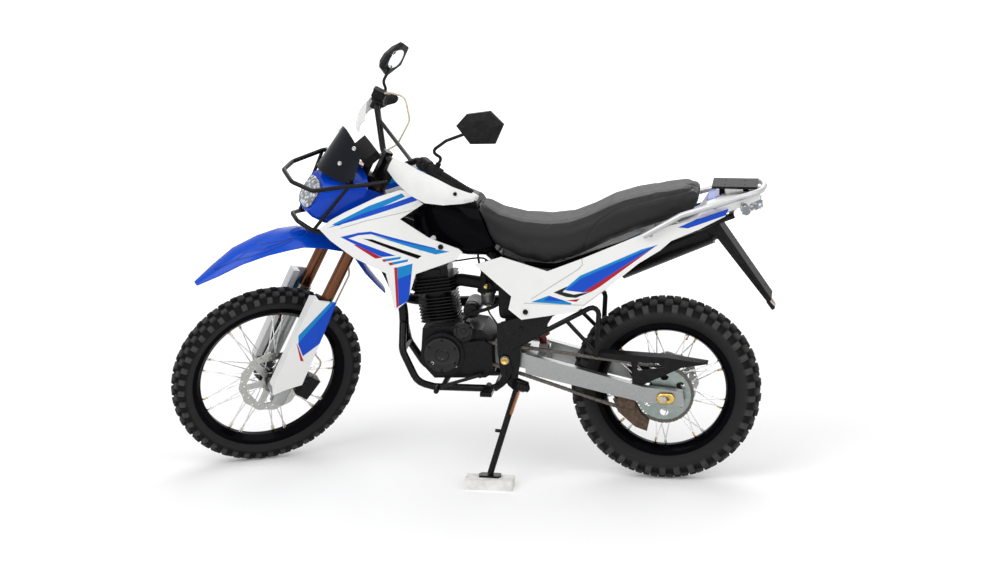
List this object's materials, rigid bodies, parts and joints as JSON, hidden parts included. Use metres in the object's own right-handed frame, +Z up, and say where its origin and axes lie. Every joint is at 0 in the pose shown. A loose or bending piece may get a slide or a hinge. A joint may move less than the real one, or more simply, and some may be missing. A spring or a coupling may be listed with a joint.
{
  "type": "enduro motorcycle",
  "caption": "Enduro motorcycle with spoked wheels, finned engine, white and blue panels, handguards and lamp guard, parked on its side stand with a block under the foot.",
  "frame": {"origin": "on the floor under the middle of the parked machine's box", "axes": "+X toward the rear of the machine, +Y toward its right side, +Z up; the machine leans left onto its stand with the steering on its left stop"},
  "size_m": [2.089, 0.7336, 1.4873],
  "materials": {
    "frame_black": "satin",
    "engine_black": "satin",
    "intake_black": "matte",
    "exhaust_black": "satin",
    "tank_black": "gloss",
    "white_panel": "gloss",
    "blue_panel": "gloss",
    "seat_vinyl": "matte",
    "alloy": "brushed",
    "bronze_tube": "polished",
    "black_plastic": "matte",
    "brown_plastic": "matte",
    "clear_lens": "clear",
    "smoked_screen": "gloss",
    "bar_black": "satin",
    "grip_rubber": "matte",
    "chain_steel": "oiled",
    "shock_red": "gloss",
    "tyre_rubber": "matte",
    "rim_black": "gloss",
    "spoke_chrome": "polished",
    "disc_steel": "ground",
    "sprocket_zinc": "zinc plated",
    "hose_cream": "satin",
    "block_white": "painted"
  },
  "bodies": {
    "chassis": {"frame": "frame_black", "engine_case": "engine_black", "cylinder": "engine_black", "intake": "intake_black", "exhaust": "exhaust_black", "tank": "tank_black", "shroud_left": "white_panel", "shroud_right": "white_panel", "seat": "seat_vinyl", "side_panel_left": "white_panel", "side_panel_right": "white_panel", "tail_cover": "white_panel", "grab_rails": "alloy", "rack": "black_plastic", "rear_fender": "black_plastic", "rear_lamps": "clear_lens", "swingarm": "alloy", "chain": "chain_steel", "chain_guard": "black_plastic", "chain_guide": "brown_plastic", "rear_shock": "shock_red", "foot_controls": "frame_black", "rear_caliper": "engine_black", "stand_block": "block_white"},
    "steering": {"clamps": "frame_black", "fork_tubes": "bronze_tube", "fork_legs": "alloy", "fork_guards": "white_panel", "handlebar": "bar_black", "hand_controls": "grip_rubber", "handguards": "white_panel", "mirrors": "black_plastic", "lamp_cowl": "blue_panel", "lamp_lens": "clear_lens", "windscreen": "smoked_screen", "dash": "black_plastic", "lamp_guard": "frame_black", "front_fender": "blue_panel", "front_indicators": "clear_lens", "front_caliper": "engine_black", "hoses": "hose_cream"},
    "front_wheel": {"front_tyre": "tyre_rubber", "front_rim": "rim_black", "front_spokes": "spoke_chrome", "front_hub": "rim_black", "front_disc": "disc_steel"},
    "rear_wheel": {"rear_tyre": "tyre_rubber", "rear_rim": "rim_black", "rear_spokes": "spoke_chrome", "rear_hub": "rim_black", "sprocket": "sprocket_zinc", "rear_disc": "disc_steel"},
    "stand": {"side_stand": "frame_black"}
  },
  "joints": [
    {"name": "steering", "type": "hinge", "parent": "chassis", "child": "steering", "pos_m": [-0.84916, 0.0424, -0.00697], "axis": [0.4498, -0.0622, 0.8909], "range_deg": [-67, 0]},
    {"name": "front_wheel_spin", "type": "hinge", "parent": "steering", "child": "front_wheel", "pos_m": [-0.73621, -0.01701, 0.33338], "axis": [-0.4932, 0.8144, 0.3058], "continuous": true},
    {"name": "rear_wheel_spin", "type": "hinge", "parent": "chassis", "child": "rear_wheel", "pos_m": [0.67429, 0.01938, 0.32933], "axis": [-0.0003, 0.9976, 0.0698], "continuous": true},
    {"name": "side_stand_fold", "type": "hinge", "parent": "chassis", "child": "stand", "pos_m": [0.18023, -0.09388, 0.34116], "axis": [-0.7678, -0.5314, 0.3579], "range_deg": [0, 125]}
  ]
}
